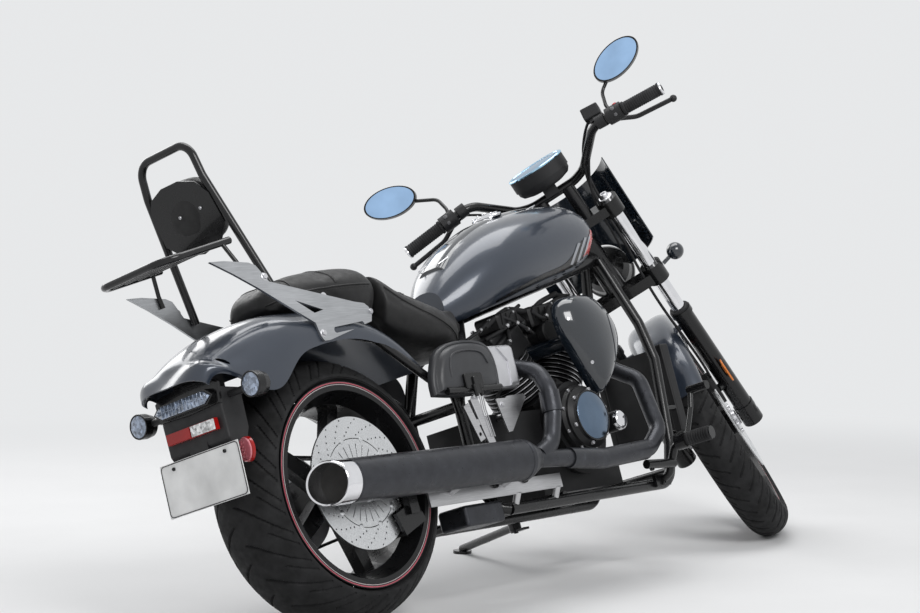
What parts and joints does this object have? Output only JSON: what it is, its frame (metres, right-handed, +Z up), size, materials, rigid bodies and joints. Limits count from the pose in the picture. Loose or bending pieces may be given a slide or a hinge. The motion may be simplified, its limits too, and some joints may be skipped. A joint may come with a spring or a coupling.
{
  "type": "cruiser motorcycle",
  "caption": "Low V-twin cruiser motorcycle parked on its side stand, bars turned left, with backrest, luggage rack, forward pegs and one silencer on the right.",
  "frame": {"origin": "centre of the bounding box in plan, on the ground", "axes": "+X forward along the machine, +Y to its left, +Z up; the machine leans to its left on its side stand"},
  "size_m": [2.5171, 0.9405, 1.4291],
  "materials": {
    "tyre": "matte",
    "wheel_black": "gloss",
    "disc_steel": "satin",
    "bare_aluminium": "satin",
    "belt_rubber": "matte",
    "frame_black": "gloss",
    "engine_black": "satin",
    "graphite_paint": "gloss",
    "chrome_plate": "polished",
    "exhaust_steel": "satin",
    "black_leather": "matte",
    "black_plastic": "matte",
    "grip_rubber": "matte",
    "clear_lens": "clear",
    "red_lens": "gloss",
    "plate_white": "satin"
  },
  "bodies": {
    "chassis": {"airbox_cover": "graphite_paint", "backrest_hoop": "frame_black", "backrest_pad": "black_leather", "clutch_cover": "engine_black", "crankcase": "engine_black", "cylinders": "engine_black", "drive_belt": "belt_rubber", "electrics_cover": "bare_aluminium", "exhaust_chamber": "exhaust_steel", "foot_controls": "frame_black", "frame": "frame_black", "fuel_tank": "graphite_paint", "generator_cover": "engine_black", "header_pipes": "exhaust_steel", "luggage_rack": "frame_black", "number_plate": "plate_white", "pillion_seat": "black_leather", "radiator": "frame_black", "rear_axle": "chrome_plate", "rear_caliper": "frame_black", "rear_fender": "graphite_paint", "rear_indicators": "clear_lens", "rear_reflectors": "red_lens", "rear_struts": "bare_aluminium", "rider_seat": "black_leather", "side_covers": "bare_aluminium", "side_plates": "bare_aluminium", "silencer": "exhaust_steel", "silencer_bracket": "exhaust_steel", "swingarm": "frame_black", "tail_lamp": "clear_lens", "tail_panel": "black_plastic", "tank_console": "chrome_plate"},
    "rear_wheel": {"rear_tyre": "tyre", "rear_rim": "wheel_black", "rear_disc": "disc_steel", "rear_pulley": "bare_aluminium"},
    "steering": {"controls": "black_plastic", "fork_sliders": "frame_black", "fork_tubes": "chrome_plate", "front_axle": "chrome_plate", "front_caliper": "frame_black", "front_fender": "graphite_paint", "front_indicators": "clear_lens", "gauge": "black_plastic", "grips": "grip_rubber", "handlebar": "frame_black", "headlamp": "clear_lens", "headlamp_cowl": "graphite_paint", "mirrors": "black_plastic", "triple_clamps": "frame_black"},
    "front_wheel": {"front_tyre": "tyre", "front_rim": "wheel_black", "front_disc": "disc_steel"},
    "side_stand": {"side_stand": "frame_black"}
  },
  "joints": [
    {"name": "rear_wheel_spin", "type": "hinge", "parent": "chassis", "child": "rear_wheel", "pos_m": [-0.79717, -0.13837, 0.30326], "axis": [0, 0.9497, -0.3132], "continuous": true},
    {"name": "steering_turn", "type": "hinge", "parent": "chassis", "child": "steering", "pos_m": [0.5143, 0.02285, 0.79217], "axis": [-0.5457, 0.2624, 0.7958], "range_deg": [-65.6, 0]},
    {"name": "front_wheel_spin", "type": "hinge", "parent": "steering", "child": "front_wheel", "pos_m": [0.93939, -0.07983, 0.30425], "axis": [-0.4539, 0.7057, -0.544], "continuous": true},
    {"name": "side_stand_fold", "type": "hinge", "parent": "chassis", "child": "side_stand", "pos_m": [0.05204, -0.02501, 0.11696], "axis": [0.0109, 0.3372, 0.9414], "range_deg": [0, 102]}
  ]
}
